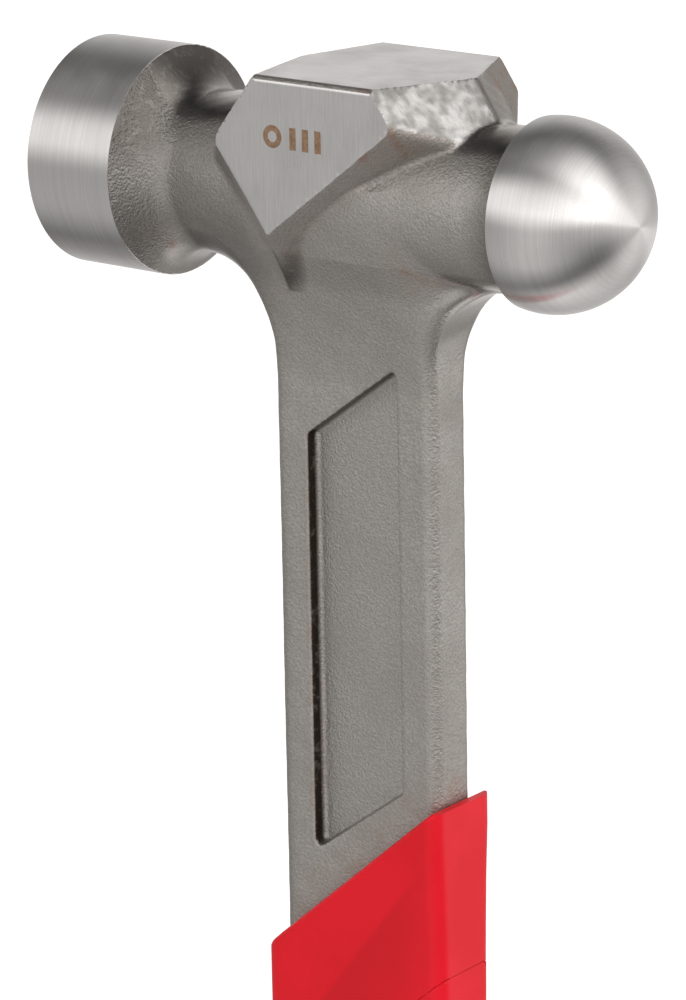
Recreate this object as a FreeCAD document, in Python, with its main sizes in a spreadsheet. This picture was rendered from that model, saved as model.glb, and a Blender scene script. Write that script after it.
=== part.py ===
"""Ball peen hammer, 16 oz class: a one-piece steel forging with a moulded grip.

Frame: the origin is the centre of the striking face. +X runs along the head from
the striking face to the ball peen, +Z points up through the top of the head, and
the handle hangs down along -Z. All sizes are in millimetres.
"""
import FreeCAD, Part
import math
import os
import re

import Sketcher

SIZES = [
    # Head, measured along X from the striking face
    ("handle_x", 46.8, "centre line of the shank"),
    ("face_radius", 16.0, "striking face, before its bevel"),
    ("face_bevel", 0.2, "bevel round the striking face"),
    ("band_length", 14.8, "turned band behind the striking face"),
    ("band_radius", 16.0, "turned band at its rear edge"),
    ("shoulder_x", 17.6, "where the shoulder turns from round to hollow"),
    ("shoulder_radius", 12.9, "radius of the head there"),
    ("shoulder_round", 4.6, "radius of the round part of the shoulder"),
    ("shoulder_hollow", 4.2, "radius of the hollow part of the shoulder"),
    ("poll_neck_x", 20.8, "start of the straight neck behind the shoulder"),
    ("poll_neck_radius", 10.5, "neck beside the shoulder"),
    ("body_radius", 11.3, "round core of the head between the two necks"),
    ("peen_neck_x", 73.4, "end of the neck on the peen side"),
    ("peen_hollow", 3.0, "radius of the hollow that flares out to the ball"),
    ("ball_radius", 13.0, "ball peen"),
    ("ball_x", 78.3, "centre of the ball"),
    ("ball_rim", 2.2, "distance of the ball's rear rim behind its centre"),
    # Block in the middle of the head
    ("top_z", 16.7, "flat top of the head"),
    ("cheek_y", 14.3, "ground cheek, from the middle plane"),
    ("top_bevel", 0.65, "bevel between the top and each cheek"),
    ("blank_top_z", 17.5, "top of the block before it is ground flat"),
    # Web and shank
    ("web_half", 8.2, "half thickness of the web under the head"),
    ("web_top_z", -8.0, "where the web begins to thin"),
    ("web_low_z", -27.0, "where the web has thinned to the shank"),
    ("web_corner_z", -16.5, "corner between the web and the shank"),
    ("web_reach", 11.0, "how far the web runs out from that corner under each neck"),
    ("web_rise", 7.5, "how far it rises on the way"),
    ("web_fillet", 14.0, "fillet in that corner"),
    ("shank_half_width", 13.7, "half width of the shank"),
    ("shank_half_thick", 4.1, "half thickness of the shank"),
    ("shank_edge", 1.8, "round on the shank's long edges"),
    ("shank_end_z", -138.0, "where the shank steps down to the tang"),
    # Pocket in each face of the shank
    ("pocket_half_width", 7.7, "half width of the pocket"),
    ("pocket_top_left_z", -34.5, "top left corner"),
    ("pocket_top_right_z", -23.2, "top right corner"),
    ("pocket_low_left_z", -94.9, "bottom left corner"),
    ("pocket_low_right_z", -83.6, "bottom right corner"),
    ("pocket_depth", 1.9, "depth of the pocket"),
    ("pocket_draft", 15.0, "draft of the pocket's walls, in degrees"),
    # Tang inside the grip
    ("tang_half_width", 8.5, "half width of the tang"),
    ("tang_half_thick", 2.4, "half thickness of the tang"),
    ("tang_end_z", -296.0, "end of the tang"),
    ("window_half_width", 4.0, "half width of each window in the tang"),
    ("window_length", 26.0, "length of each window"),
    ("window_pitch", 48.0, "distance from window to window"),
    ("window_top_z", -162.0, "top of the first window"),
    # Grip
    ("jacket_wall", 1.2, "damping jacket round the tang"),
    ("collar_half_width", 15.3, "collar and top of the grip, half width"),
    ("collar_half_thick", 6.7, "collar and top of the grip, half thickness"),
    ("collar_corner", 2.5, "corner radius of the collar"),
    ("collar_lip", 0.8, "round on the collar's top edge"),
    ("collar_z", -96.9, "height of the collar's slanted mouth on the centre line"),
    ("collar_height", 25.4, "height of the collar, straight down"),
    ("collar_slant", 41.1, "slant of the collar's mouth, in degrees"),
    ("sleeve_wall", 1.9, "soft sleeve outside the core"),
    ("grip_neck_z", -141.0, "lower end of the grip's straight neck"),
    ("grip_neck_length", 45.0, "length of the neck, before its slanted cut"),
    ("core_neck_length", 3.0, "length of the neck on the core, which ends at the shank"),
    ("sleeve_end_z", -309.0, "lower end of the sleeve and of the core"),
    ("palm_z", -196.0, "thickest part of the palm swell"),
    ("palm_half_width", 16.2, "half width of the palm swell"),
    ("palm_half_thick", 11.6, "half thickness of the palm swell"),
    ("waist_z", -262.0, "waist above the butt"),
    ("waist_half_width", 14.4, "half width at the waist"),
    ("waist_half_thick", 10.2, "half thickness at the waist"),
    ("butt_half_width", 17.6, "half width of the flared butt"),
    ("butt_half_thick", 12.6, "half thickness of the flared butt"),
    ("grip_corner", 7.5, "corner radius of the grip's sections"),
    ("butt_z", -318.0, "lowest point of the hammer"),
    ("cap_edge", 3.0, "round on the butt cap's lower edge"),
    ("spigot_inset", 0.3, "clearance of the cap's spigot in the core"),
    ("spigot_length", 9.0, "length of the cap's spigot"),
]

# Corners of the ground cheek (x from the shank's centre line, z) and of the same
# block at the middle plane, where its sloping sides have spread out. Each list runs
# top left, top right, right, bottom, left, and the top is still unground.
CHEEK_CORNERS = [(-6.8, 17.5), (11.3, 17.5), (15.2, 11.65), (-5.6, -4.45), (-14.5, 7.5)]
MIDDLE_CORNERS = [(-10.1, 17.5), (18.1, 17.5), (25.7, 6.2), (-9.4, -20.9), (-24.3, -1.0)]

doc = FreeCAD.newDocument("ball_peen_hammer")
sheet = doc.addObject("Spreadsheet::Sheet", "sizes")
for row, (alias, value, note) in enumerate(SIZES, start=1):
    sheet.set(f"A{row}", alias)
    sheet.set(f"B{row}", str(value))
    sheet.set(f"C{row}", note)
    sheet.setAlias(f"B{row}", alias)
doc.recompute()

ALIASES = {alias for alias, value, note in SIZES}


def linked(formula):
    """The formula with each size's name turned into a link to the sheet."""
    return re.sub(r"[a-z_]+", lambda word: ("sizes." if word[0] in ALIASES else "") + word[0], str(formula))


def number(formula):
    """What a formula comes to now."""
    return float(sheet.evalExpression(linked(formula)))


def new_body(name):
    body = doc.addObject("PartDesign::Body", name)
    body.Label = name
    body.Placement = FreeCAD.Placement()
    return body


def origin_feature(body, role):
    return next(item for item in body.Origin.OriginFeatures if item.Role == role)


def new_sketch(body, name, role, offset="0"):
    """An empty sketch on one of the body's own planes, moved along its normal."""
    sketch = body.newObject("Sketcher::SketchObject", name)
    sketch.AttachmentSupport = [(origin_feature(body, role), "")]
    sketch.MapMode = "FlatFace"
    sketch.setExpression(".AttachmentOffset.Base.z", linked(offset))
    return sketch


def pin(sketch, edge, end, x, y):
    """Hold one end of an edge at (x, y), both read from the sheet."""
    for kind, axis, formula in (("DistanceX", -2, x), ("DistanceY", -1, y)):
        if str(formula) == "0":
            sketch.addConstraint(Sketcher.Constraint("PointOnObject", edge, end, axis))
        else:
            index = sketch.addConstraint(Sketcher.Constraint(kind, -1, 1, edge, end, number(formula)))
            sketch.setExpression(f"Constraints[{index}]", linked(formula))


def arc_between(start, end, radius):
    """Arc from start to end, and whether it is stored from start to end.

    A positive radius turns left on the way, a negative one turns right.
    """
    chord = end - start
    rise = math.sqrt(radius * radius - (chord.Length / 2) ** 2)
    left = FreeCAD.Vector(-chord.y, chord.x, 0).normalize()
    centre = (start + end) / 2 + left * math.copysign(rise, radius)
    angles = [math.atan2(p.y - centre.y, p.x - centre.x) for p in (start, end)]
    if radius < 0:
        angles.reverse()
    circle = Part.Circle(centre, FreeCAD.Vector(0, 0, 1), abs(radius))
    return Part.ArcOfCircle(circle, *angles), radius > 0


def add_loop(sketch, corners):
    """Closed outline. A corner is (x, y), or (x, y, radius) where an arc leads to it."""
    places = [FreeCAD.Vector(number(c[0]), number(c[1]), 0) for c in corners]
    ends = []
    for k, corner in enumerate(corners):
        start, end = places[k - 1], places[k]
        if len(corner) == 3:
            arc, forward = arc_between(start, end, number(corner[2]))
            edge = sketch.addGeometry(arc, False)
            index = sketch.addConstraint(Sketcher.Constraint("Radius", edge, abs(number(corner[2]))))
            sketch.setExpression(f"Constraints[{index}]", linked(f"abs({corner[2]})"))
        else:
            edge, forward = sketch.addGeometry(Part.LineSegment(start, end), False), True
        ends.append((edge, 1, 2) if forward else (edge, 2, 1))
    for k, corner in enumerate(corners):
        edge, first, last = ends[k]
        following, next_first, next_last = ends[(k + 1) % len(ends)]
        sketch.addConstraint(Sketcher.Constraint("Coincident", edge, last, following, next_first))
        pin(sketch, edge, last, corner[0], corner[1])


def rounded_rectangle(half_width, half_thick, corner, centre_x="handle_x"):
    """Corners of a section across the handle, its four corners turned by arcs."""
    left, right = f"{centre_x} - ({half_width})", f"{centre_x} + ({half_width})"
    low, high = f"-({half_thick})", half_thick
    return [
        (f"{right} - {corner}", low),
        (right, f"{low} + {corner}", corner), (right, f"{high} - {corner}"),
        (f"{right} - {corner}", high, corner), (f"{left} + {corner}", high),
        (left, f"{high} - {corner}", corner), (left, f"{low} + {corner}"),
        (f"{left} + {corner}", low, corner),
    ]


def feature(body, kind, name, sketch, **links):
    """A sketch-based feature. Links are sizes read from the sheet."""
    item = body.newObject(f"PartDesign::{kind}", name)
    item.Profile = sketch
    for prop, formula in links.items():
        item.setExpression(prop, linked(formula))
    sketch.Visibility = False
    return item


def through_cut(body, name, role, loops):
    """Cut the outline through the whole body, both ways from its plane."""
    sketch = new_sketch(body, name + "_outline", role)
    for loop in loops:
        add_loop(sketch, loop)
    cut = feature(body, "Pocket", name, sketch)
    cut.SideType = "Symmetric"
    cut.Type = "ThroughAll"
    return cut


def dress(body, kind, name, size, test):
    """Fillet or chamfer the edges of the body so far that pass the test."""
    doc.recompute()
    base = body.Tip
    names = [f"Edge{k}" for k, edge in enumerate(base.Shape.Edges, start=1) if test(edge)]
    if not names:
        raise RuntimeError(f"{name} found no edges")
    item = body.newObject(f"PartDesign::{kind}", name)
    item.Base = (base, names)
    item.setExpression("Radius" if kind == "Fillet" else "Size", linked(size))
    return item


def near(value, formula, gap=0.02):
    return abs(value - number(formula)) < gap


def forged_hammer():
    """Head, shank and tang in one forging."""
    body = new_body("forged_hammer")

    # Web and shank, drawn in side view, as thick as the web all the way down
    side = new_sketch(body, "shank_side_view", "XZ_Plane")
    add_loop(side, [
        ("handle_x - shank_half_width - web_reach", "0"),
        ("handle_x - shank_half_width - web_reach", "web_corner_z + web_rise"),
        ("handle_x - shank_half_width", "web_corner_z"),
        ("handle_x - shank_half_width", "shank_end_z"),
        ("handle_x + shank_half_width", "shank_end_z"),
        ("handle_x + shank_half_width", "web_corner_z"),
        ("handle_x + shank_half_width + web_reach", "web_corner_z + web_rise"),
        ("handle_x + shank_half_width + web_reach", "0"),
    ])
    shank = feature(body, "Pad", "shank_blank", side, Length="2 * web_half")
    shank.SideType = "Symmetric"

    # Both faces thin down from the web to the shank
    flanks = []
    for sign in ("", "-1 * "):
        flanks.append([
            (sign + "shank_half_thick", "shank_end_z - 1"),
            (sign + "shank_half_thick", "web_low_z"),
            (sign + "web_half", "web_top_z"),
            (sign + "(web_half + 2)", "web_top_z"),
            (sign + "(web_half + 2)", "shank_end_z - 1"),
        ])
    through_cut(body, "thinned_faces", "YZ_Plane", flanks)

    def crosses_at_shank_side(edge):
        ends = [v.Point for v in edge.Vertexes]
        return all(near(p.z, "web_corner_z") for p in ends) and len(ends) == 2 and edge.Length > 6

    dress(body, "Fillet", "web_fillets", "web_fillet", crosses_at_shank_side)

    def long_shank_edge(edge):
        ends = [v.Point for v in edge.Vertexes]
        upright = len(ends) == 2 and abs(ends[0].x - ends[1].x) < 0.01 and edge.Length > 60
        return upright and all(near(abs(p.y), "shank_half_thick") for p in ends)

    dress(body, "Fillet", "shank_edges", "shank_edge", long_shank_edge)

    # Everything round the head's axis: poll, shoulder, necks and ball
    profile = new_sketch(body, "head_profile", "XZ_Plane")
    add_loop(profile, [
        ("0", "0"),
        ("0", "face_radius - face_bevel"),
        ("face_bevel", "face_radius"),
        ("band_length", "band_radius"),
        ("shoulder_x", "shoulder_radius", "-shoulder_round"),
        ("poll_neck_x", "poll_neck_radius", "shoulder_hollow"),
        ("handle_x - shank_half_width", "body_radius"),
        ("peen_neck_x", "body_radius"),
        ("ball_x - ball_rim", "sqrt(ball_radius ^ 2 - ball_rim ^ 2)", "peen_hollow"),
        ("ball_x + ball_radius", "0", "-ball_radius"),
    ])
    turned = feature(body, "Revolution", "turned_head", profile)
    turned.ReferenceAxis = (origin_feature(body, "X_Axis"), [""])
    turned.Angle = 360

    # The block with its two ground cheeks
    sections = []
    for name, corners, offset in (("near_cheek", CHEEK_CORNERS, "cheek_y"),
                                  ("block_middle", MIDDLE_CORNERS, "0"),
                                  ("far_cheek", CHEEK_CORNERS, "-cheek_y")):
        sketch = new_sketch(body, name, "XZ_Plane", offset)
        add_loop(sketch, [(f"handle_x + ({x})", z) for x, z in corners])
        sections.append(sketch)
    block = feature(body, "AdditiveLoft", "block", sections[0])
    block.Sections = sections[1:]
    block.Ruled = True

    # The top is ground flat, and its edges along the cheeks are bevelled
    through_cut(body, "ground_top", "XZ_Plane", [[
        ("handle_x - 30", "top_z"), ("handle_x + 30", "top_z"),
        ("handle_x + 30", "top_z + 5"), ("handle_x - 30", "top_z + 5"),
    ]])

    def top_cheek_edge(edge):
        ends = [v.Point for v in edge.Vertexes]
        return all(near(p.z, "top_z") and near(abs(p.y), "cheek_y") for p in ends)

    dress(body, "Chamfer", "top_bevels", "top_bevel", top_cheek_edge)

    # A slanted pocket in each face of the shank
    window = new_sketch(body, "pocket_outline", "XZ_Plane", "shank_half_thick")
    add_loop(window, [
        ("handle_x - pocket_half_width", "pocket_top_left_z"),
        ("handle_x + pocket_half_width", "pocket_top_right_z"),
        ("handle_x + pocket_half_width", "pocket_low_right_z"),
        ("handle_x - pocket_half_width", "pocket_low_left_z"),
    ])
    pocket = feature(body, "Pocket", "front_pocket", window, Length="pocket_depth")
    pocket.setExpression("TaperAngle", linked("-pocket_draft"))
    doc.recompute()
    mirror = body.newObject("PartDesign::Mirrored", "rear_pocket")
    mirror.Originals = [pocket]
    mirror.MirrorPlane = (origin_feature(body, "XZ_Plane"), [""])
    body.Tip = mirror

    # Tang with three windows that lock the moulding on
    tang_view = new_sketch(body, "tang_side_view", "XZ_Plane")
    add_loop(tang_view, tang_outline("0"))
    for k in range(3):
        add_loop(tang_view, tang_window(k))
    tang = feature(body, "Pad", "tang", tang_view, Length="2 * tang_half_thick")
    tang.SideType = "Symmetric"
    return body


def tang_outline(grow):
    """The tang in side view, each free side moved out by grow."""
    left = f"handle_x - tang_half_width - ({grow})"
    right = f"handle_x + tang_half_width + ({grow})"
    return [
        (left, "shank_end_z"), (right, "shank_end_z"),
        (right, f"tang_end_z - ({grow})"), (left, f"tang_end_z - ({grow})"),
    ]


def tang_window(k):
    top = f"window_top_z - {k} * window_pitch"
    left, right = "handle_x - window_half_width", "handle_x + window_half_width"
    return [(left, top), (right, top), (right, f"{top} - window_length"), (left, f"{top} - window_length")]


def damping_jacket():
    """Elastomer moulded round the tang and through its windows."""
    body = new_body("damping_jacket")
    view = new_sketch(body, "jacket_side_view", "XZ_Plane")
    add_loop(view, tang_outline("jacket_wall"))
    solid = feature(body, "Pad", "jacket", view, Length="2 * (tang_half_thick + jacket_wall)")
    solid.SideType = "Symmetric"

    space = new_sketch(body, "tang_space_outline", "XZ_Plane")
    add_loop(space, tang_outline("0"))
    for k in range(3):
        add_loop(space, tang_window(k))
    hollow = feature(body, "Pocket", "tang_space", space, Length="2 * tang_half_thick")
    hollow.SideType = "Symmetric"
    return body


def seam_wedge(z, side):
    """Side view of all the space above (side 1) or below (side -1) the slanted plane
    that crosses the centre line at height z."""
    reach = 40
    rise = f"{reach} * tan(collar_slant * 1 deg)"
    return [
        (f"handle_x - {reach}", f"{z} - {rise}"), (f"handle_x + {reach}", f"{z} + {rise}"),
        (f"handle_x + {reach}", f"{z} + {side} * 400"), (f"handle_x - {reach}", f"{z} + {side} * 400"),
    ]


def grip_shape(body, name, inset, cut=False):
    """Outside of the grip below the collar, moved in by inset and added or cut away:
    a straight neck, then a palm swell, a waist and a flared butt."""
    stations = [
        ("grip_neck_z", "collar_half_width", "collar_half_thick", "collar_corner"),
        ("palm_z", "palm_half_width", "palm_half_thick", "grip_corner"),
        ("waist_z", "waist_half_width", "waist_half_thick", "grip_corner"),
        ("sleeve_end_z", "butt_half_width", "butt_half_thick", "grip_corner"),
    ]
    neck_length = "grip_neck_length" if inset == "0" else "core_neck_length"
    corner_inset = f"({inset}) * (collar_corner - shank_edge) / sleeve_wall"

    def section(label, z, half_width, half_thick, corner):
        sketch = new_sketch(body, f"{name}_{label}", "XY_Plane", z)
        add_loop(sketch, rounded_rectangle(
            f"({half_width} - {inset})", f"({half_thick} - {inset})", f"({corner} - {corner_inset})"))
        return sketch

    neck = feature(body, "Pocket" if cut else "Pad", f"{name}_neck",
                   section("neck_section", *stations[0]), Length=neck_length)
    neck.Reversed = cut
    sections = [section(f"section_{k}", *station) for k, station in enumerate(stations)]
    kind = "SubtractiveLoft" if cut else "AdditiveLoft"
    feature(body, kind, f"{name}_handle", sections[0]).Sections = sections[1:]


def grip_core():
    """Rigid moulding that carries the sleeve, the collar and the butt cap."""
    body = new_body("grip_core")
    grip_shape(body, "core", "sleeve_wall")
    jacket = new_sketch(body, "jacket_space_outline", "XZ_Plane")
    left, right = (f"handle_x {side} (tang_half_width + jacket_wall)" for side in "-+")
    add_loop(jacket, [
        (left, "shank_end_z"), (right, "shank_end_z"),
        (right, "sleeve_end_z - 1"), (left, "sleeve_end_z - 1"),
    ])
    hollow = feature(body, "Pocket", "jacket_space", jacket, Length="2 * (tang_half_thick + jacket_wall)")
    hollow.SideType = "Symmetric"
    return body


def shank_space(body):
    """Cut the shank's own section out of a grip part, down to the end of the shank."""
    section = new_sketch(body, "shank_space_outline", "XY_Plane", "shank_end_z")
    add_loop(section, rounded_rectangle("shank_half_width", "shank_half_thick", "shank_edge"))
    cut = feature(body, "Pocket", "shank_space", section, Length="-shank_end_z")
    cut.Reversed = True
    return cut


def grip_collar():
    """Red band round the shank at the mouth of the grip, slanted at both ends."""
    body = new_body("grip_collar")
    section = new_sketch(body, "collar_section", "XY_Plane", "shank_end_z")
    add_loop(section, rounded_rectangle("collar_half_width", "collar_half_thick", "collar_corner"))
    feature(body, "Pad", "collar_blank", section, Length="-shank_end_z - 60")
    through_cut(body, "collar_mouth", "XZ_Plane", [seam_wedge("collar_z", 1)])

    def outer_mouth_edge(edge):
        slanted = all(abs(mouth_height(v.Point)) < 0.01 for v in edge.Vertexes)
        return slanted and len(edge.Vertexes) == 2

    dress(body, "Fillet", "collar_lip_round", "collar_lip", outer_mouth_edge)
    through_cut(body, "collar_seam", "XZ_Plane", [seam_wedge("(collar_z - collar_height)", -1)])
    shank_space(body)
    return body


def mouth_height(point):
    """How far a point lies above the slanted plane of the collar's mouth."""
    slope = math.tan(math.radians(number("collar_slant")))
    return point.z - number("collar_z") - slope * (point.x - number("handle_x"))


def grip_sleeve():
    """Soft sleeve over the core, from the collar's seam to the butt."""
    body = new_body("grip_sleeve")
    grip_shape(body, "sleeve", "0")
    grip_shape(body, "core_space", "sleeve_wall", cut=True)
    through_cut(body, "sleeve_mouth", "XZ_Plane", [seam_wedge("(collar_z - collar_height)", 1)])
    shank_space(body)
    return body


def butt_cap():
    """Cap that closes the lower end of the grip, with a spigot up into the core."""
    body = new_body("butt_cap")
    section = new_sketch(body, "cap_section", "XY_Plane", "sleeve_end_z")
    add_loop(section, rounded_rectangle("butt_half_width", "butt_half_thick", "grip_corner"))
    cap = feature(body, "Pad", "cap", section, Length="sleeve_end_z - butt_z")
    cap.Reversed = True

    def lower_edge(edge):
        return all(near(v.Point.z, "butt_z") for v in edge.Vertexes)

    dress(body, "Fillet", "cap_round", "cap_edge", lower_edge)
    root = new_sketch(body, "spigot_section", "XY_Plane", "sleeve_end_z")
    half_width = "(tang_half_width + jacket_wall - spigot_inset)"
    half_thick = "(tang_half_thick + jacket_wall - spigot_inset)"
    add_loop(root, [
        (f"handle_x - {half_width}", f"-{half_thick}"), (f"handle_x + {half_width}", f"-{half_thick}"),
        (f"handle_x + {half_width}", half_thick), (f"handle_x - {half_width}", half_thick),
    ])
    feature(body, "Pad", "spigot", root, Length="spigot_length")
    return body


def check(bodies):
    """Stop if any object has failed or any sub-part is not one valid solid."""
    for item in doc.Objects:
        if "Invalid" in item.State or "Error" in item.State:
            raise RuntimeError(f"{item.Name} failed: {item.State}")
    for body in bodies:
        shape = body.Shape
        if shape.isNull() or not shape.isValid() or len(shape.Solids) != 1:
            raise RuntimeError(f"{body.Label} is not one valid solid")


bodies = [forged_hammer(), damping_jacket(), grip_core(), grip_collar(), grip_sleeve(), butt_cap()]
doc.recompute()
check(bodies)
os.makedirs("parts", exist_ok=True)
for body in bodies:
    box = body.Shape.optimalBoundingBox(False)
    ranges = [(box.XMin, box.XMax), (box.YMin, box.YMax), (box.ZMin, box.ZMax)]
    spans = ", ".join(f"{axis} {low:.1f} to {high:.1f}" for axis, (low, high) in zip("xyz", ranges))
    print(f"{body.Label}: {body.Shape.Volume / 1000:.2f} cm3, {spans}")
    body.Shape.exportStep(f"parts/{body.Label}.step")
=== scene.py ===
"""Ball peen hammer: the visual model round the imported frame, with its studio."""
import math

import bpy
import numpy as np
from mathutils import Matrix, Vector


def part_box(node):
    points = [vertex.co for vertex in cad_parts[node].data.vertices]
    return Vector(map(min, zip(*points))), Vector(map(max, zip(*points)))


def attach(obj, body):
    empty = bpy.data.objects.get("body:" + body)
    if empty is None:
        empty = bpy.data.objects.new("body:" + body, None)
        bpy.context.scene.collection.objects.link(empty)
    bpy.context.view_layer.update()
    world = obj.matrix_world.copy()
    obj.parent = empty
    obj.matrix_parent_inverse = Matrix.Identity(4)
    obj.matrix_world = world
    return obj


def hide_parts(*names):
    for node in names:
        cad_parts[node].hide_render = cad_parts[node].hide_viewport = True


MM = 0.001

# ---------------------------------------------------------------------------
# Sizes of the forging, in millimetres, in the frame's own axes: x from the
# striking face, z up from the axis of the head.
# ---------------------------------------------------------------------------
SHANK_X = 46.8                 # centre line of the shank
FACE_RADIUS = 15.97
FACE_BEVEL = 0.22
BAND_LENGTH = 14.8             # turned band behind the striking face
BAND_RADIUS = 16.0
SHOULDER_LENGTH = 6.5          # hollow shoulder behind the band
POLL_NECK_RADIUS = 10.4
CORE_RADIUS = 11.2             # round core through the middle of the head
PEEN_NECK_RADIUS = 11.0
PEEN_FLARE_X = 72.4            # where the neck starts to flare out to the ball
PEEN_FLARE_RADIUS = 11.4
BALL_X = 78.3
BALL_RADIUS = 13.0
BALL_RIM_X = 76.0
TOP_Z = 16.7
CHEEK_Y = 14.3
TOP_BEVEL = 0.5
CHEEK_TIP = (-5.6, -4.45)      # lowest corner of the cheek, x from the shank's centre line
SHANK_HALF_WIDTH = 13.7
SHANK_HALF_THICK = 4.1
SHANK_EDGE = 1.9
SHANK_END_Z = -138.0
WEB_LOW_Z = -27.0              # where the web has thinned to the shank
WEB_HEIGHT = 19.0
WEB_GROWTH = 5.0               # how much thicker the web is at its top, each side
WEB_FILLET = 12.3
HEAD_UNDERSIDE_Z = -10.8
POCKET_HALF_WIDTH = 7.7
POCKET_DEPTH = 1.9
POCKET_DRAFT = math.radians(7)
TANG_HALF_WIDTH = 8.5
TANG_HALF_THICK = 2.4
TANG_END_Z = -296.0
WINDOW_HALF_WIDTH = 4.0
WINDOW_LENGTH = 26.0
WINDOW_PITCH = 48.0
WINDOW_TOP_Z = -162.0

# ---------------------------------------------------------------------------
# Joining distance functions
# ---------------------------------------------------------------------------


def round_union(a, b, radius):
    """Union with a circular fillet of the given radius in the inside corner."""
    corner = np.hypot(np.maximum(radius - a, 0), np.maximum(radius - b, 0))
    return np.maximum(radius, np.minimum(a, b)) - corner


def round_cut(a, b, radius):
    """Intersection with a circular round of the given radius on the outside corner."""
    return -round_union(-a, -b, radius)


def ramp(value, start, end):
    """0 at start, 1 at end, smooth between."""
    u = np.clip((value - start) / (end - start), 0, 1)
    return u * u * (3 - 2 * u)


def box(values, halves):
    """Distance to a box round the origin, exact on its faces."""
    return np.maximum.reduce([np.abs(v) - h for v, h in zip(values, halves)])


# ---------------------------------------------------------------------------
# The forging as one distance function
# ---------------------------------------------------------------------------
PROFILE_X = np.arange(0, 95, 0.05)


def neck_profile(x):
    """Radius of the forged part of the head from the shoulder to the ball."""
    shoulder = np.clip((x - BAND_LENGTH) / SHOULDER_LENGTH, 0, 1)
    radius = POLL_NECK_RADIUS + (BAND_RADIUS - 0.08 - POLL_NECK_RADIUS) * (1 - shoulder) ** 2
    radius = radius + (CORE_RADIUS - POLL_NECK_RADIUS) * ramp(x, 20, 32)
    radius = radius + (PEEN_NECK_RADIUS - CORE_RADIUS) * ramp(x, 60, 68)
    flare = np.clip((x - PEEN_FLARE_X) / (BALL_RIM_X - PEEN_FLARE_X), 0, 1.1)
    return radius + (PEEN_FLARE_RADIUS - PEEN_NECK_RADIUS) * flare ** 2


NECK_RADIUS = neck_profile(PROFILE_X)
NECK_SCALE = 1 / np.sqrt(1 + np.gradient(NECK_RADIUS, PROFILE_X) ** 2)


def necks(x, rho):
    """Forged necks and round core. They run 1 mm into the turned ends."""
    radius = np.interp(x, PROFILE_X, NECK_RADIUS)
    scale = np.interp(x, PROFILE_X, NECK_SCALE)
    ends = np.maximum(BAND_LENGTH - 1 - x, x - BALL_RIM_X - 1)
    return np.maximum((rho - radius) * scale, ends)


def plane(x, y, z, normal, point):
    """Distance above a plane; x is measured from the shank's centre line."""
    length = np.sqrt(sum(n * n for n in normal))
    return sum(n * (v - p) for n, v, p in zip(normal, (x, y, z), point)) / length


def block(x, y, z):
    """The faceted block in the middle of the head, before grinding."""
    y = np.sqrt(y * y + 0.3) - 0.2
    peen_facet = plane(x, y, z, (1, 0.476, 0.674), (18.6, 0, TOP_Z))
    poll_facet = plane(x, y, z, (-1, 0.228, 0.767), (-10.7, 0, TOP_Z))
    tip_x, tip_z = CHEEK_TIP
    peen_wall = plane(x, y, z, (0.611, 0.705, -0.792), (tip_x, CHEEK_Y, tip_z))
    lean = 0.87 + 0.25 * np.clip((tip_x - x) / 9, 0, 1)
    poll_wall = plane(x, y, z, (-0.803, lean, -0.597), (tip_x, CHEEK_Y, tip_z))
    peen_side = round_cut(peen_facet, peen_wall, 1.2)
    poll_side = round_cut(poll_facet, poll_wall, 1.2)
    return round_cut(peen_side, poll_side, 0.35)


def web(x, y, z):
    """Shank and the web that spreads from it under both necks."""
    side = np.abs(x) - SHANK_HALF_WIDTH
    bar = np.maximum(HEAD_UNDERSIDE_Z - z, z)
    outline = round_union(side, bar, WEB_FILLET)
    rise = np.clip((z - WEB_LOW_Z) / WEB_HEIGHT, 0, 1)
    thin_out = 5.6 * ramp(np.abs(x), 8, 24)
    thickness = SHANK_HALF_THICK + (WEB_GROWTH - thin_out) * rise ** 1.5
    solid = round_cut(outline, np.abs(y) - thickness, SHANK_EDGE)
    return np.maximum.reduce([solid, z, SHANK_END_Z - z, np.abs(x) - 28])


def pocket(x, y, z):
    """The slanted pocket in each face of the shank."""
    depth = SHANK_HALF_THICK - np.abs(y)
    left, right = -POCKET_HALF_WIDTH - x, x - POCKET_HALF_WIDTH
    top = plane(x, y, z, (-0.592, 0, 0.806), (-POCKET_HALF_WIDTH, 0, -34.5))
    low = plane(x, y, z, (0.592, 0, -0.806), (-POCKET_HALF_WIDTH, 0, -94.9))
    outline = round_cut(round_cut(left, low, 1.6), round_cut(right, top, 1.2), 0.4)
    walls = (outline + depth * math.tan(POCKET_DRAFT)) * math.cos(POCKET_DRAFT)
    return round_cut(walls, depth - POCKET_DEPTH, 0.5)


def tang(x, y, z):
    """Tang inside the grip, with its three windows."""
    middle = (SHANK_END_Z + TANG_END_Z) / 2
    solid = box((x, y, z - middle), (TANG_HALF_WIDTH, TANG_HALF_THICK, (SHANK_END_Z - TANG_END_Z) / 2 + 1))
    solid = np.maximum(solid, TANG_END_Z - z)
    for k in range(3):
        centre = WINDOW_TOP_Z - k * WINDOW_PITCH - WINDOW_LENGTH / 2
        window = box((x, z - centre), (WINDOW_HALF_WIDTH, WINDOW_LENGTH / 2))
        solid = np.maximum(solid, -window)
    return solid


def waviness(x, y, z):
    """The slow unevenness of a forged skin."""
    slow = np.sin(0.61 * x + 0.4 * z + 1.0) * np.sin(0.53 * z - 0.7 * y + 0.3)
    quick = np.sin(1.55 * x - 1.1 * z) * np.sin(1.4 * y + 1.25 * z + 2.0)
    return 0.03 * slow + 0.012 * quick


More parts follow.
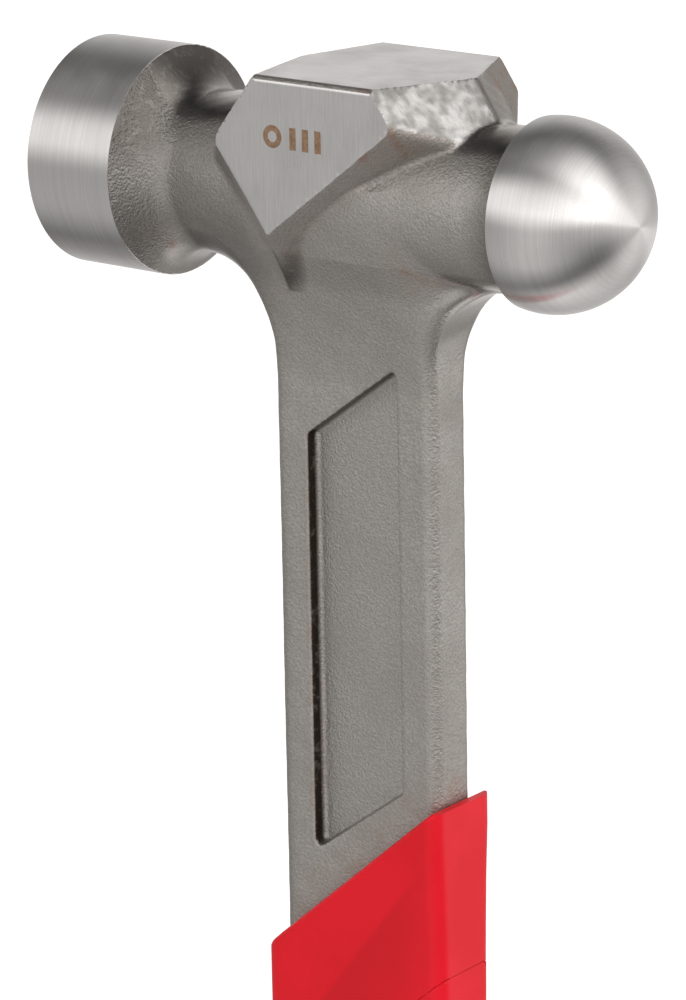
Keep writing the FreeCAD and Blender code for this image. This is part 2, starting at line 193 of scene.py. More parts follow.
def forging(x, y, z):
    """Signed distance to the whole forging, in millimetres."""
    rho = np.hypot(y, z)
    along = x - SHANK_X
    core = necks(x, rho)
    skin = round_union(core, web(along, y, z), 4.0 - 3.2 * ramp(along, 12, 22))
    skin = round_union(skin, block(along, y, z), 0.6)
    calm = ramp(x, BAND_LENGTH, BAND_LENGTH + 6) * ramp(x, BALL_RIM_X, BALL_RIM_X - 6)
    skin = skin + waviness(x, y, z) * calm * ramp(z, SHANK_END_Z, SHANK_END_Z + 20)
    skin = -round_union(-skin, pocket(along, y, z), 0.3)
    cheek = np.abs(y) - CHEEK_Y - 4 * (1 - ramp(x, 22, 26))
    bevel = (cheek + z - TOP_Z + TOP_BEVEL) / math.sqrt(2)
    ground = np.maximum.reduce([skin, cheek, z - TOP_Z, bevel])
    return np.minimum(ground, tang(along, y, z))


# ---------------------------------------------------------------------------
# Meshing a distance function
# ---------------------------------------------------------------------------


def slopes(distance, points, gap=0.01):
    """Unit gradient of a distance function at an array of points."""
    grad = np.empty_like(points)
    for axis in range(3):
        shift = np.zeros(3)
        shift[axis] = gap
        ahead, behind = (points + shift).T, (points - shift).T
        grad[:, axis] = distance(*ahead) - distance(*behind)
    return grad / np.maximum(np.linalg.norm(grad, axis=1, keepdims=True), 1e-9)


def dual_contour(distance, axes):
    """Vertices and quads of the zero surface, with creases kept sharp.

    Each cell of the grid that the surface passes through gets one vertex, put
    where the planes through the cell's edge crossings meet.
    """
    grid = [len(a) for a in axes]
    field = np.empty(grid, np.float32)
    y, z = np.meshgrid(axes[1], axes[2], indexing="ij")
    for i, x in enumerate(axes[0]):
        field[i] = distance(np.full_like(y, x), y, z)
    inside = field < 0
    cells = [n - 1 for n in grid]
    count = np.zeros(cells, np.int8)
    for i in (0, 1):
        for j in (0, 1):
            for k in (0, 1):
                count += inside[i:i + cells[0], j:j + cells[1], k:k + cells[2]]
    active = (count > 0) & (count < 8)
    number = np.full(cells, -1, np.int64)
    total = int(active.sum())
    number[active] = np.arange(total)

    matrix, target = np.zeros((total, 3, 3)), np.zeros((total, 3))
    mean, hits = np.zeros((total, 3)), np.zeros(total)
    quads = []
    for axis in range(3):
        one, two = (axis + 1) % 3, (axis + 2) % 3
        low = [slice(None)] * 3
        high = [slice(None)] * 3
        low[axis], high[axis] = slice(0, -1), slice(1, None)
        start, end = field[tuple(low)], field[tuple(high)]
        where = np.argwhere((start < 0) != (end < 0))
        fits = (where[:, one] > 0) & (where[:, one] < grid[one] - 1)
        fits &= (where[:, two] > 0) & (where[:, two] < grid[two] - 1)
        where = where[fits]
        first, last = start[tuple(where.T)], end[tuple(where.T)]
        share = first / (first - last)
        points = np.stack([axes[a][where[:, a]] for a in range(3)], axis=1).astype(float)
        span = axes[axis][where[:, axis] + 1] - axes[axis][where[:, axis]]
        points[:, axis] += share * span
        normals = slopes(distance, points)
        offset = (normals * points).sum(axis=1)
        ring = []
        for back_one, back_two in ((0, 0), (1, 0), (1, 1), (0, 1)):
            cell = where.copy()
            cell[:, one] -= back_one
            cell[:, two] -= back_two
            vertex = number[tuple(cell.T)]
            ring.append(vertex)
            for a in range(3):
                target[:, a] += np.bincount(vertex, normals[:, a] * offset, total)
                mean[:, a] += np.bincount(vertex, points[:, a], total)
                for b in range(3):
                    matrix[:, a, b] += np.bincount(vertex, normals[:, a] * normals[:, b], total)
            hits += np.bincount(vertex, minlength=total)
        ring = np.stack(ring, axis=1)
        leaving = first < 0
        quads.append(np.where(leaving[:, None], ring, ring[:, ::-1]))
    hits = np.maximum(hits, 1)
    mean /= hits[:, None]
    pull = 0.02
    solved = np.linalg.solve(matrix + pull * np.eye(3), (target + pull * mean)[..., None])[..., 0]
    where = np.argwhere(active)
    for a in range(3):
        low_side, high_side = axes[a][where[:, a]], axes[a][where[:, a] + 1]
        solved[:, a] = np.clip(solved[:, a], low_side, high_side)
    return solved, np.concatenate(quads)


def spaced(start, end, step):
    """Evenly spaced places that run a little past both ends."""
    count = int(math.ceil((end - start) / step)) + 3
    middle = (start + end) / 2
    return middle + step * (np.arange(count) - (count - 1) / 2 + 0.13)


def new_object(name, points, faces, distance=None):
    """Mesh object from points in millimetres, smooth except at its creases.

    With a distance function, the shading normals follow its slope wherever the
    surface is smooth.
    """
    mesh = bpy.data.meshes.new(name)
    mesh.from_pydata((np.asarray(points) * MM).tolist(), [], [list(map(int, f)) for f in faces])
    mesh.validate()
    mesh.shade_smooth()
    if distance:
        corners = np.empty(len(mesh.loops), np.int32)
        mesh.loops.foreach_get("vertex_index", corners)
        flat = np.empty(len(mesh.polygons) * 3)
        mesh.polygons.foreach_get("normal", flat)
        flat = np.repeat(flat.reshape(-1, 3), 4, axis=0)
        smooth = slopes(distance, np.asarray(points), 0.12)[corners]
        creased = (smooth * flat).sum(axis=1) < math.cos(math.radians(24))
        smooth[creased] = flat[creased]
        mesh.normals_split_custom_set(smooth.tolist())
    else:
        mesh.set_sharp_from_angle(angle=math.radians(30))
    piece = bpy.data.objects.new(name, mesh)
    bpy.context.scene.collection.objects.link(piece)
    return piece


# ---------------------------------------------------------------------------
# The grip, in millimetres
# ---------------------------------------------------------------------------
SLANT = math.tan(math.radians(41.1))       # slope of the collar's mouth
MOUTH_Z = -96.9                            # where the mouth crosses the centre line
COLLAR_HEIGHT = 25.4
COLLAR_LIP = 0.5
SEAM_GAP = 0.06
SEAM_LAP = 0.35                            # how deep the collar runs under the sleeve
SLEEVE_WALL = 1.9
SLEEVE_END_Z = -309.0
BUTT_Z = -318.0
CAP_EDGE = 3.0
GROOVE_PITCH = 7.5
GROOVE_DEPTH = 0.6

# Height, half width and half thickness down the grip
GRIP_STATIONS = [
    (-141.0, 15.3, 6.7),
    (-196.0, 16.2, 11.6),
    (-262.0, 14.4, 10.2),
    (-309.0, 17.6, 12.6),
]


def swept(z, column):
    """A size down the grip: the cubic through the four stations, level above the first."""
    z = np.clip(z, GRIP_STATIONS[-1][0], GRIP_STATIONS[0][0])
    value = 0
    for station in GRIP_STATIONS:
        share = station[column]
        for other in GRIP_STATIONS:
            if other is not station:
                share = share * (z - other[0]) / (station[0] - other[0])
        value = value + share
    return value


def past_crease(x, z):
    """Distance past the slanted crease in the collar's faces."""
    return np.maximum((x + 3.8 - 0.77 * (z + 113.5)), 0) * 0.8


def grip_outside(x, y, z):
    """Outside of the grip. Its faces fall away past a slanted crease on the peen side."""
    fall = 0.9 * (1 - np.exp(-0.12 * past_crease(x, z)))
    fall = fall * (1 - ramp(z, -150, -175))
    face = np.abs(y) - swept(z, 2) + fall
    side = np.abs(x) - swept(z, 1)
    return round_cut(side, face, 2.2 + 5.3 * ramp(z, -141, -196))


def mouth_distance(x, z, drop):
    """Height above the slanted plane that lies drop below the collar's mouth."""
    return (z - MOUTH_Z + drop - SLANT * x) / math.hypot(1, SLANT)


def shank_hole(x, y):
    return round_cut(np.abs(x) - SHANK_HALF_WIDTH, np.abs(y) - SHANK_HALF_THICK, SHANK_EDGE)


def collar_shape(x, y, z):
    along = x - SHANK_X
    outside = grip_outside(along, y, z)
    seam = -mouth_distance(along, z, COLLAR_HEIGHT) + SEAM_GAP / 2
    shown = np.maximum(round_cut(outside, mouth_distance(along, z, 0), COLLAR_LIP), seam)
    lap = np.maximum(outside + SEAM_LAP, -mouth_distance(along, z, COLLAR_HEIGHT + 1.5))
    lap = np.maximum(lap, mouth_distance(along, z, COLLAR_HEIGHT - 2))
    return np.maximum(np.minimum(shown, lap), -shank_hole(along, y))


def sleeve_shape(x, y, z):
    along = x - SHANK_X
    outside = grip_outside(along, y, z) - 0.05
    wave = np.cos(2 * math.pi * (z - SLANT * along + 160) / GROOVE_PITCH)
    zone = ramp(z - SLANT * along, -152, -160) * ramp(z - SLANT * along, -292, -284)
    zone = zone * (1 - ramp(np.abs(along), 7.5, 12.5))
    grooved = outside + GROOVE_DEPTH * zone * np.clip(2.2 * wave - 1.2, 0, 1)
    ends = np.maximum(mouth_distance(along, z, COLLAR_HEIGHT) + SEAM_GAP / 2, SLEEVE_END_Z - z)
    inside = grip_outside(along, y, z) + SLEEVE_WALL
    return np.maximum.reduce([grooved, ends, -inside, z + 100])


def cap_shape(x, y, z):
    along = x - SHANK_X
    section = grip_outside(along, y, np.full_like(z, SLEEVE_END_Z))
    lower = round_cut(section, BUTT_Z - z, CAP_EDGE)
    groove = np.hypot(section, z - SLEEVE_END_Z) - 0.35
    return np.maximum.reduce([lower, z - SLEEVE_END_Z, -groove])


# ---------------------------------------------------------------------------
# Materials
# ---------------------------------------------------------------------------


class Shader:
    """Builds one node tree."""

    def __init__(self, name, world=False):
        self.block = (bpy.data.worlds if world else bpy.data.materials).new(name)
        self.block.use_nodes = True
        self.tree = self.block.node_tree
        self.tree.nodes.clear()
        self.output = self.tree.nodes.new("ShaderNodeOutputWorld" if world else "ShaderNodeOutputMaterial")

    def add(self, kind, inputs=None, **settings):
        """A node. Each input is a value, or the socket that feeds it."""
        item = self.tree.nodes.new("ShaderNode" + kind)
        for name, value in settings.items():
            setattr(item, name, value)
        for name, value in (inputs or {}).items():
            if isinstance(value, bpy.types.NodeSocket):
                self.tree.links.new(value, item.inputs[name])
            else:
                item.inputs[name].default_value = value
        return item

    def math(self, operation, *values, clamp=False):
        return self.add("Math", dict(enumerate(values)), operation=operation, use_clamp=clamp).outputs[0]

    def scaled(self, vector, scale):
        return self.add("Mapping", {"Vector": vector, "Scale": scale}).outputs[0]

    def noise(self, vector, scale, detail=2.0, roughness=0.5):
        values = {"Vector": vector, "Scale": scale, "Detail": detail, "Roughness": roughness}
        return self.add("TexNoise", values).outputs["Fac"]

    def between(self, value, low, high, to_low=0.0, to_high=1.0):
        """The value from low to high, brought smoothly to another range."""
        ends = {"Value": value, "From Min": low, "From Max": high, "To Min": to_low, "To Max": to_high}
        return self.add("MapRange", ends, interpolation_type="SMOOTHSTEP").outputs["Result"]

    def mix(self, share, first, second):
        item = self.add("Mix", data_type="RGBA")
        for socket, value in ((item.inputs[0], share), (item.inputs[6], first), (item.inputs[7], second)):
            if isinstance(value, bpy.types.NodeSocket):
                self.tree.links.new(value, socket)
            else:
                socket.default_value = value
        return item.outputs[2]

    def bump(self, height, distance, strength=1.0, normal=None):
        values = {"Height": height, "Distance": distance, "Strength": strength}
        if normal:
            values["Normal"] = normal
        return self.add("Bump", values).outputs[0]

    def finish(self, inputs):
        surface = self.add("BsdfPrincipled", inputs)
        self.tree.links.new(surface.outputs[0], self.output.inputs["Surface"])
        return self.block


def grey(value, warmth=0.0):
    return (value * (1 + warmth), value, value * (1 - 1.3 * warmth), 1)


def forged_skin():
    """Blasted forging: pebbly and faintly rusty in its creases, with painted shade darkening its shaded walls and
    corners.
    """
    s = Shader("forged_skin")
    place = s.add("TexCoord").outputs["Object"]
    crease = s.add("Attribute", attribute_name="crease").outputs["Fac"]
    painted_shade = s.add("Attribute", attribute_name="painted_shade").outputs["Fac"]
    polish = s.add("Attribute", attribute_name="polish").outputs["Fac"]
    pebbles = s.noise(place, 3300, 1.5, 0.5)
    grains = s.add("TexVoronoi", {"Vector": place, "Scale": 2100}, feature="SMOOTH_F1").outputs["Distance"]
    patches = s.noise(place, 110, 3.0, 0.55)
    colour = s.mix(s.between(pebbles, 0.35, 0.68), grey(0.365, 0.045), grey(0.435, 0.04))
    colour = s.mix(s.between(patches, 0.35, 0.7, 0, 0.3), colour, grey(0.33, 0.06))
    spots = s.math("MULTIPLY", s.between(s.noise(place, 320, 3.0, 0.6), 0.5, 0.66), crease)
    rust = s.math("ADD", s.math("MULTIPLY", spots, 0.4), s.math("MULTIPLY", crease, 0.10), clamp=True)
    colour = s.mix(rust, colour, (0.36, 0.20, 0.12, 1))
    # Painted shade: this attribute mixes the colour towards near-black, standing in for shadow on the pockets'
    # walls, in corners, on the shoulder and by the ball.
    scale = s.math("MULTIPLY", painted_shade, s.between(s.noise(place, 700, 2.0, 0.6), 0.2, 0.5, 0.6, 1.0))
    colour = s.mix(scale, colour, (0.045, 0.036, 0.030, 1))
    height = s.math("ADD", pebbles, s.math("MULTIPLY", grains, 0.5))
    normal = s.bump(height, 0.00010, s.between(polish, 0.45, 1, 1.0, 0.10))
    rough = s.between(patches, 0.3, 0.7, 0.50, 0.60)
    rough = s.math("MULTIPLY", rough, s.between(polish, 0, 1, 1.0, 0.48))
    return s.finish({"Base Color": colour, "Metallic": 1.0, "Roughness": rough, "Normal": normal})


def shiny_facet():
    """The peen-side facets of the block, struck smooth and blotchy."""
    s = Shader("shiny_facet")
    place = s.add("TexCoord").outputs["Object"]
    blotches = s.noise(place, 260, 2.0, 0.6)
    pebbles = s.noise(place, 1300, 2.0, 0.5)
    colour = s.mix(s.between(blotches, 0.4, 0.65), grey(0.25, 0.03), grey(0.40, 0.015))
    height = s.math("ADD", s.math("MULTIPLY", blotches, 1.3), s.math("MULTIPLY", pebbles, 0.35))
    normal = s.bump(height, 0.00015)
    rough = s.between(blotches, 0.38, 0.62, 0.48, 0.33)
    return s.finish({"Base Color": colour, "Metallic": 1.0, "Roughness": rough, "Normal": normal})


def ground(name, stretch, tone, roughness):
    """Ground flat: fine parallel scratches and a little wear."""
    s = Shader(name)
    place = s.add("TexCoord").outputs["Object"]
    lines = s.noise(s.scaled(place, stretch), 1.0, 3.0, 0.65)
    wear = s.noise(place, 160, 3.0, 0.6)
    colour = s.mix(s.between(lines, 0.3, 0.7), grey(tone * 0.93, 0.012), grey(tone * 1.06, 0.006))
    colour = s.mix(s.between(wear, 0.5, 0.75, 0, 0.25), colour, grey(tone * 0.8, 0.02))
    normal = s.bump(lines, 0.00002)
    rough = s.between(wear, 0.3, 0.7, roughness - 0.03, roughness + 0.05)
    tangent = s.add("CombineXYZ", {"X": 1.0}).outputs[0]
    return s.finish({"Base Color": colour, "Metallic": 1.0, "Roughness": rough, "Normal": normal,
                     "Anisotropic": 0.6, "Tangent": tangent})


def turned(name, centre, tone, roughness, anisotropy):
    """Turned surface: rings round the head's axis."""
    s = Shader(name)
    place = s.add("TexCoord").outputs["Object"]
    part = s.add("SeparateXYZ", {0: place})
    radius = s.math("SQRT", s.math("ADD", s.math("POWER", s.math("ABSOLUTE", part.outputs["Y"]), 2.0),
                                   s.math("POWER", s.math("ABSOLUTE", part.outputs["Z"]), 2.0)))
    ahead = s.math("SUBTRACT", part.outputs["X"], centre)
    turn = s.math("ARCTAN2", radius, ahead)
    spot = s.add("CombineXYZ", {"X": s.math("MULTIPLY", turn, 90.0),
                                "Y": s.math("MULTIPLY", part.outputs["Y"], 30.0),
                                "Z": s.math("MULTIPLY", part.outputs["Z"], 30.0)}).outputs[0]
    rings = s.noise(spot, 1.6, 4.0, 0.7)
    fine = s.noise(spot, 7.0, 2.0, 0.6)
    smears = s.noise(place, 90, 3.0, 0.6)
    colour = s.mix(s.between(rings, 0.3, 0.7), grey(tone * 0.9, 0.012), grey(tone * 1.07, 0.008))
    colour = s.mix(s.between(smears, 0.5, 0.8, 0, 0.2), colour, grey(tone * 0.85, 0.015))
    height = s.math("ADD", rings, s.math("MULTIPLY", fine, 0.4))
    normal = s.bump(height, 0.0000025)
    rough = s.between(smears, 0.3, 0.7, roughness - 0.03, roughness + 0.04)
    tangent = s.add("CombineXYZ", {"X": 1.0}).outputs[0]
    return s.finish({"Base Color": colour, "Metallic": 1.0, "Roughness": rough, "Normal": normal,
                     "Anisotropic": anisotropy, "Tangent": tangent})


def moulded(name, colour, shade, roughness, grain, depth):
    """Moulded plastic or rubber with a fine texture and slightly uneven gloss.

    The tone is painted a little deeper where the mesh's own attribute for the collar's crease is high: painted
    shade past the slanted crease.
    """
    s = Shader(name)
    place = s.add("TexCoord").outputs["Object"]
    clouds = s.noise(place, 70, 3.0, 0.5)
    skin = s.noise(place, grain, 2.0, 0.6)
    tone = s.mix(s.between(clouds, 0.35, 0.65), colour, shade)
    tone = s.mix(s.between(skin, 0.3, 0.75, 0, 0.3), tone, shade)
    # Painted shade: past the collar's slanted crease the tone is mixed towards a darker red, standing in for the
    # face turning away from the light.
    painted_fold_shade = s.add("Attribute", attribute_name="painted_fold_shade").outputs["Fac"]
    deep = tuple(0.7 * part for part in shade[:3]) + (1,)
    tone = s.mix(s.math("MULTIPLY", painted_fold_shade, 0.42), tone, deep)
    rough = s.between(clouds, 0.3, 0.7, roughness - 0.04, roughness + 0.05)
    return s.finish({"Base Color": tone, "Roughness": rough, "Normal": s.bump(skin, depth),
                     "Specular IOR Level": 0.25})


# ---------------------------------------------------------------------------
# Build
# ---------------------------------------------------------------------------
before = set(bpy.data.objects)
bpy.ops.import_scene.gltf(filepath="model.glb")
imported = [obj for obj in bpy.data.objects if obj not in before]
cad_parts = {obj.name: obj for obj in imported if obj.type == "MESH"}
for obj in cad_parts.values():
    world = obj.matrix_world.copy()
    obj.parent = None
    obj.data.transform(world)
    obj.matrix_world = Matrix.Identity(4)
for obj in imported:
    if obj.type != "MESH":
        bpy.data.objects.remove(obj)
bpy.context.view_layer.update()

STEP = 0.4


def build(name, distance, axes, node, materials):
    """One piece of the visual model, which stands for one CAD node."""
    points, faces = dual_contour(distance, axes)
    low, high = (np.array(corner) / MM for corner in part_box(node))
    piece = new_object(name, np.clip(points, low, high), faces, distance)
    for material in materials:
        piece.data.materials.append(material)
    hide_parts(node)
    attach(piece, "root")
    return piece


def vertices_of(mesh):
    """The mesh's vertices in millimetres."""
    places = np.empty(len(mesh.vertices) * 3)
    mesh.vertices.foreach_get("co", places)
    return places.reshape(-1, 3) / MM


def lathe(name, profile, materials, turns=288):
    """Solid turned about the head's axis, from a profile that starts and ends on it."""
    angles = 2 * np.pi * np.arange(turns) / turns
    points = [(profile[0][0], 0, 0), (profile[-1][0], 0, 0)]
    for x, radius in profile[1:-1]:
        points += [(x, radius * math.cos(a), radius * math.sin(a)) for a in angles]
    last = len(points) - turns
    faces = []
    for k in range(turns):
        after = (k + 1) % turns
        faces += [(0, 2 + after, 2 + k), (1, last + k, last + after)]
        for start in range(2, last, turns):
            faces.append((start + k, start + after, start + turns + after, start + turns + k))
    piece = new_object(name, points, faces)
    for material in materials:
        piece.data.materials.append(material)
    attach(piece, "root")
    return piece


def crease_of(points):
    """How deep each point lies in the hollow between two forged shapes, 0 to 1."""
    x, y, z = points.T
    along, rho = x - SHANK_X, np.hypot(y, z)
    neck, plate = necks(x, rho), web(along, y, z)
    body = round_union(neck, plate, 4.0)
    under_block = 0.3 * (1 - np.hypot(body, block(along, y, z)) / 1.8)
    under_neck = 0.7 * np.minimum(neck, plate) * ramp(along, 8, 14)
    near_collar = 1 - ramp(z - SLANT * along, MOUTH_Z + 1, MOUTH_Z + 9)
    rim = pocket(along, y, z)
    outer_rim = (rim > 0.02) & (rim < 0.7) & (along < -7.5) & (z > -96)
    return np.clip(np.maximum.reduce([under_block, under_neck, 0.45 * near_collar, 0.5 * outer_rim]), 0, 1)


def painted_shade_of(points):
    """How much painted shade each point gets: on the pockets' left and top walls, in tight corners at the foot of
    the block, on the poll's shoulder and on the neck by the ball.
    """
    x, y, z = points.T
    along, rho = x - SHANK_X, np.hypot(y, z)
    depth = SHANK_HALF_THICK - np.abs(y)
    # Painted shade on the pocket walls that face away from the light, and on the shaded corners, shoulder and neck
    # below.
    wall = (np.abs(pocket(along, y, z)) < 0.3) & (depth > 0.1)
    left_wall = wall * (1 - ramp(along, -7.4, -6.6)) * (1 - ramp(depth, 1.2, 1.8))
    top_wall = wall * ramp(along * 0.734 + 40 + z, -2, 0) * (1 - ramp(depth, 1.0, 1.8)) * (z > -36)
    body = np.minimum(necks(x, rho), web(along, y, z))
    reach = 0.35 + 1.9 * ramp(along, 1.0, -6.5) * (z > -14)
    foot = 1 - np.clip(np.hypot(body, block(along, y, z)) / reach, 0, 1)
    corner = foot * (z < 13) * (along > -8) * (along < 20)
    shoulder = 0.22 * (1 - ramp(x, 32, 37)) + 0.45 * (1 - ramp(x, 16, 22)) * ramp(z, -2, 6)
    by_ball = 0.4 * ramp(x, 70, 75.5)
    return np.clip(left_wall + 0.6 * top_wall + 0.9 * corner + shoulder + by_ball, 0, 1)


def polish_of(points):
    """How smooth each point was left where the flash was ground off, along the parting plane."""
    x, y, z = points.T
    along = np.abs(x - SHANK_X)
    on_necks = (1 - ramp(np.abs(y), 6, 8.5)) * ramp(along, 13, 19) * ramp(np.abs(z), 4, 7)
    on_web = (1 - ramp(np.abs(y), 3.0, 5.0)) * ramp(z, -32, -22) * ramp(along, 13, 14.5)
    on_shoulder = 0.45 * (1 - ramp(x, 20, 25))
    return np.clip(np.maximum.reduce([on_necks, on_web, on_shoulder]), 0, 1)


forging_axes = (
    spaced(BAND_LENGTH - 1, BALL_RIM_X + 1, STEP),
    spaced(-BAND_RADIUS, BAND_RADIUS, STEP),
    np.concatenate([spaced(TANG_END_Z, -114, 2.0)[:-3], spaced(-112, TOP_Z, STEP)]),
)
hammer = build("forging", forging, forging_axes, "forged_hammer", [
    forged_skin(),
    ground("ground_cheek", (4200, 4200, 160), 0.69, 0.30),
    ground("ground_top", (300, 3800, 3800), 0.54, 0.32),
    shiny_facet(),
])
band = lathe("turned_band", [
    (0, 0), (0, FACE_RADIUS - FACE_BEVEL), (FACE_BEVEL, FACE_RADIUS), (BAND_LENGTH, BAND_RADIUS), (BAND_LENGTH, 0),
], [turned("band_steel", 0.0, 0.62, 0.32, 1.0), ground("striking_face", (900, 900, 900), 0.58, 0.30)])
for polygon in band.data.polygons:
    polygon.material_index = int(polygon.center.x < 1e-6)
rim_turn = math.acos((BALL_RIM_X - BALL_X) / BALL_RADIUS)
arc = [rim_turn * (1 - k / 96) for k in range(95)]
lathe("turned_ball", [
    (BALL_RIM_X, 0),
    *((BALL_X + BALL_RADIUS * math.cos(t), BALL_RADIUS * math.sin(t)) for t in arc),
    (BALL_X + BALL_RADIUS * math.cos(arc[-1]), 0),
], [turned("ball_steel", BALL_X * MM, 0.65, 0.29, 1.0)])
mesh = hammer.data
places = vertices_of(mesh)
marks = {"crease": crease_of(places), "painted_shade": painted_shade_of(places), "polish": polish_of(places)}
for name, values in marks.items():
    mesh.attributes.new(name, "FLOAT", "POINT").data.foreach_set("value", values.astype(np.float32))

centres, facing = np.empty(len(mesh.polygons) * 3), np.empty(len(mesh.polygons) * 3)
mesh.polygons.foreach_get("center", centres)
mesh.polygons.foreach_get("normal", facing)
cx, cy, cz = (centres.reshape(-1, 3) / MM).T
nx, ny, nz = facing.reshape(-1, 3).T
finish = np.zeros(len(cx), np.int32)
side_on = np.abs(ny) > 0.985
finish[side_on & (np.abs(cy) > CHEEK_Y - 0.03) & (np.abs(cx - SHANK_X) < 20)] = 1
finish[(nz > 0.985) & (cz > TOP_Z - 0.03) & (np.abs(cx - SHANK_X) < 30)] = 2
facet = (0.772, 0.367, 0.520)
on_facet = (nx * facet[0] - ny * facet[1] + nz * facet[2] > 0.93) & (cz > 4)
finish[(finish == 0) & on_facet & (cx > SHANK_X) & (cx < 72)] = 3
mesh.polygons.foreach_set("material_index", finish)



def prism(corners, inner=None):
    """A thin plate on the near cheek from its outline, with an optional hole of as many corners."""
    rings = [corners] + ([inner] if inner else [])
    count = len(corners)
    points, faces = [], []
    for y in (-CHEEK_Y - MARK_PROUD, -CHEEK_Y + 0.05):
        for ring in rings:
            points += [(SHANK_X + x, y, z) for x, z in ring]
    step = count * len(rings)
    for ring in range(len(rings)):
        for k in range(count):
            a, b = ring * count + k, ring * count + (k + 1) % count
            faces.append((a, b, b + step, a + step) if ring == 0 else (b, a, a + step, b + step))
    if inner:
        for k in range(count):
            a, b = k, (k + 1) % count
            faces.append((b, a, a + count, b + count))
            faces.append((a + step, b + step, b + count + step, a + count + step))
    else:
        faces.append(tuple(range(count))[::-1])
        faces.append(tuple(range(step, step + count)))
    return points, faces


def circle(x, z, radius, count=48):
    turns = [2 * math.pi * k / count for k in range(count)]
    return [(x + radius * math.cos(t), z + radius * math.sin(t)) for t in turns]


# A plain etched mark in place of lettering: a ring and three bars
MARK_PROUD = 0.012
MARK_X, MARK_Z = -0.3, 8.8
points, faces = [], []
shapes = [prism(circle(MARK_X - 4.1, MARK_Z, 1.55), circle(MARK_X - 4.1, MARK_Z, 0.75))]
for k in range(3):
    left = MARK_X - 1.2 + 2.1 * k
    right, low, high = left + 1.05, MARK_Z - 1.5, MARK_Z + 1.5
    shapes.append(prism([(left, low), (right, low), (right, high), (left, high)]))
for shape_points, shape_faces in shapes:
    faces += [[k + len(points) for k in face] for face in shape_faces]
    points += shape_points
mark = new_object("etched_mark", points, faces)
s = Shader("etched_brown")
spots = s.noise(s.add("TexCoord").outputs["Object"], 1800, 3.0, 0.6)
mark.data.materials.append(s.finish({
    "Base Color": s.mix(s.between(spots, 0.3, 0.7), (0.25, 0.15, 0.085, 1), (0.37, 0.245, 0.16, 1)),
    "Metallic": 0.6, "Roughness": s.between(spots, 0.3, 0.7, 0.42, 0.6),
    "Normal": s.bump(spots, 0.00002),
}))
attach(mark, "root")

red = (0.82, 0.006, 0.020, 1)
deep_red = (0.74, 0.004, 0.014, 1)
across = spaced(SHANK_X - 17.7, SHANK_X + 17.7, 0.5)
deep_across = spaced(-12.7, 12.7, 0.5)
collar = build("collar", collar_shape, (spaced(SHANK_X - 15.3, SHANK_X + 15.3, 0.4), spaced(-7, 7, 0.4),
                               spaced(-137, -84, 0.4)), "grip_collar",
      [moulded("collar_red", red, deep_red, 0.42, 2400, 0.00002)])
x, y, z = vertices_of(collar.data).T
past = past_crease(x - SHANK_X, z)
# Painted shade past the collar's slanted crease: this attribute darkens the face just beyond it.
painted_fold_shade = ramp(past, 0, 0.8) * (1 - ramp(past, 1, 15)) * (1 - ramp(x - SHANK_X, 8, 15.3))
collar.data.attributes.new("painted_fold_shade", "FLOAT", "POINT").data.foreach_set("value", painted_fold_shade.astype(np.float32))
build("sleeve", sleeve_shape, (across, deep_across, spaced(SLEEVE_END_Z, -106, 0.5)), "grip_sleeve",
      [moulded("sleeve_red", red, deep_red, 0.46, 2000, 0.00003)])
build("cap", cap_shape, (across, deep_across, spaced(BUTT_Z, SLEEVE_END_Z, 0.5)), "butt_cap",
      [moulded("cap_black", (0.02, 0.02, 0.022, 1), (0.012, 0.012, 0.013, 1), 0.45, 1800, 0.00004)])
hidden = moulded("hidden_plastic", (0.03, 0.03, 0.03, 1), (0.02, 0.02, 0.02, 1), 0.5, 1500, 0.00003)
for node in ("damping_jacket", "grip_core"):
    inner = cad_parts[node]
    inner.data.materials.clear()
    inner.data.materials.append(hidden)

# ---------------------------------------------------------------------------
# Studio
# ---------------------------------------------------------------------------
bpy.ops.mesh.primitive_circle_add(vertices=64, radius=12, fill_type="NGON", location=(0, 0, BUTT_Z * MM))
floor = bpy.context.object
floor.name = "floor"
floor.visible_glossy = False
floor.visible_diffuse = False
s = Shader("floor")
floor.data.materials.append(s.finish({
    "Base Color": (0.85, 0.85, 0.85, 1), "Roughness": 0.9,
    "Emission Color": (1, 1, 1, 1), "Emission Strength": 0.6,
}))

# Light from all round, in three rows by how far its direction points along the head's
# axis. Each row gives the brightness at each angle about that axis, in degrees: angle 0
# faces the front of the hammer and 90 is overhead.
LIGHT_ANGLES = [-180, -150, -122, -98, -75, -50, -8, 12, 36, 56, 80, 108, 128, 152]
LIGHT_ROWS = [
    (-0.6, [1.00, 1.15, 0.35, 0.15, 0.40, 0.55, 0.40, 1.25, 1.45, 0.25, 0.15, 0.00, 0.35, 1.05]),
    (0.1, [0.30, 0.30, 0.85, 1.40, 0.25, 0.90, 0.95, 1.50, 0.65, 0.10, 0.08, 0.08, 0.08, 0.25]),
    (0.8, [1.25, 0.65, 0.15, 0.00, 0.00, 0.35, 0.45, 1.65, 1.80, 1.35, 2.85, 2.45, 0.45, 0.80]),
]
BRIGHTEST = 3.0
# Softboxes: direction, inner and outer angle, how much they add
CARDS = [
    ((1.0, -0.1, 0.1), 5, 38, 0.4),
    ((0.60, 0.75, -0.28), 8, 34, 0.5),
]
s = Shader("studio", world=True)
direction = s.add("TexCoord").outputs["Generated"]
part = s.add("SeparateXYZ", {0: direction})
angle = s.math("ARCTAN2", part.outputs["Z"], s.math("MULTIPLY", part.outputs["Y"], -1.0))
share = s.math("MULTIPLY_ADD", angle, 0.5 / math.pi, 0.5)


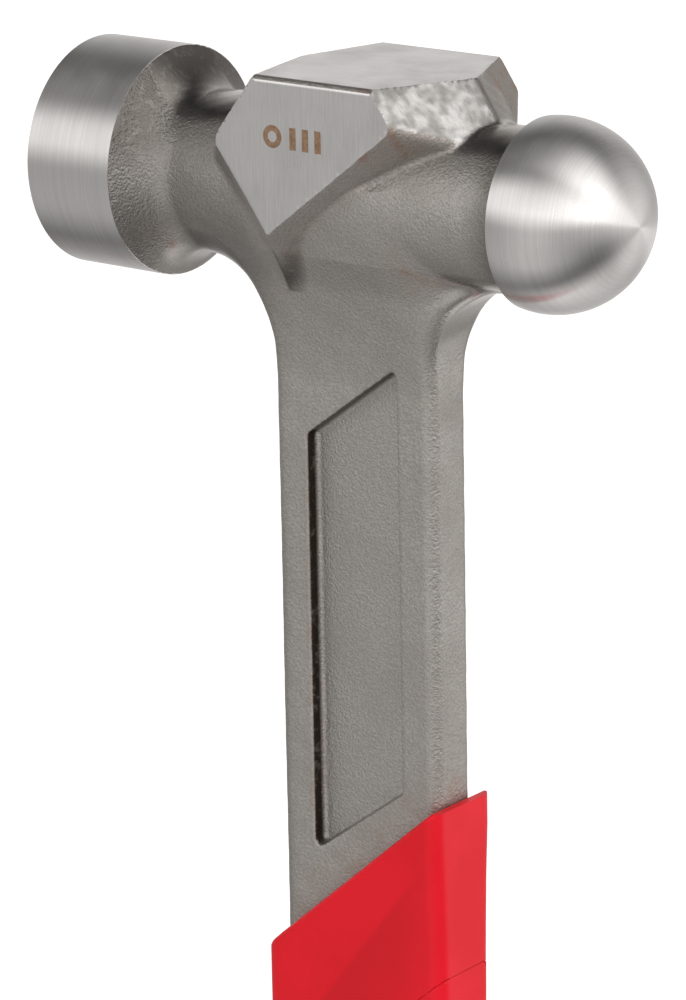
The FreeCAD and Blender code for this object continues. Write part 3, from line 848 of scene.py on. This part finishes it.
def light_row(values):
    """Brightness round the axis, as a socket."""
    gradient = s.add("ValToRGB", {"Fac": share})
    stops = gradient.color_ramp.elements
    stops.remove(stops[-1])
    for k, (degrees, value) in enumerate(zip(LIGHT_ANGLES + [180], values + values[:1])):
        stop = stops[0] if k == 0 else stops.new((degrees + 180) / 360)
        stop.position = (degrees + 180) / 360
        stop.color = (value / BRIGHTEST, value / BRIGHTEST, value / BRIGHTEST, 1)
    return s.math("MULTIPLY", gradient.outputs["Color"], BRIGHTEST)


rows = [(x, light_row(values)) for x, values in LIGHT_ROWS]
light = rows[0][1]
for (x, row), (next_x, next_row) in zip(rows, rows[1:]):
    gap = 1 / (next_x - x)
    share_of_next = s.math("MULTIPLY_ADD", part.outputs["X"], gap, -x * gap, clamp=True)
    step = s.math("MULTIPLY", share_of_next, s.math("SUBTRACT", next_row, row))
    light = s.math("ADD", light, step)
for towards, inner, outer, strength in CARDS:
    aim = Vector(towards).normalized()
    facing_it = s.add("VectorMath", {0: direction, 1: aim}, operation="DOT_PRODUCT").outputs["Value"]
    card = s.between(facing_it, math.cos(math.radians(outer)), math.cos(math.radians(inner)), 0, strength)
    light = s.math("ADD", light, card)
light = s.math("MAXIMUM", light, 0.03)
background = s.add("Background", {"Color": (1.0, 0.975, 0.96, 1), "Strength": light})
s.tree.links.new(background.outputs[0], s.output.inputs["Surface"])
bpy.context.scene.world = s.block

# ---------------------------------------------------------------------------
# Camera: the viewing angle is azimuth 38.5, elevation 16.1, with a slight roll
# ---------------------------------------------------------------------------
azimuth, elevation, roll = (math.radians(a) for a in (38.498, 16.093, -1.064))
back = Vector((math.sin(azimuth) * math.cos(elevation), -math.cos(azimuth) * math.cos(elevation),
               math.sin(elevation)))
level = (-back).cross(Vector((0, 0, 1))).normalized()
upward = level.cross(-back)
camera_x = math.cos(roll) * level + math.sin(roll) * upward
camera_y = -math.sin(roll) * level + math.cos(roll) * upward
lens = bpy.data.cameras.new("camera")
lens.lens = 164.26
lens.sensor_width = 36
lens.clip_start, lens.clip_end = 0.05, 60
camera = bpy.data.objects.new("camera", lens)
turn = Matrix((camera_x, camera_y, back)).transposed()
camera.matrix_world = Matrix.Translation((0.41646, -0.47105, 0.12914)) @ turn.to_4x4()
bpy.context.scene.collection.objects.link(camera)
bpy.context.scene.camera = camera
bpy.context.scene.view_settings.view_transform = "Standard"
bpy.context.view_layer.update()
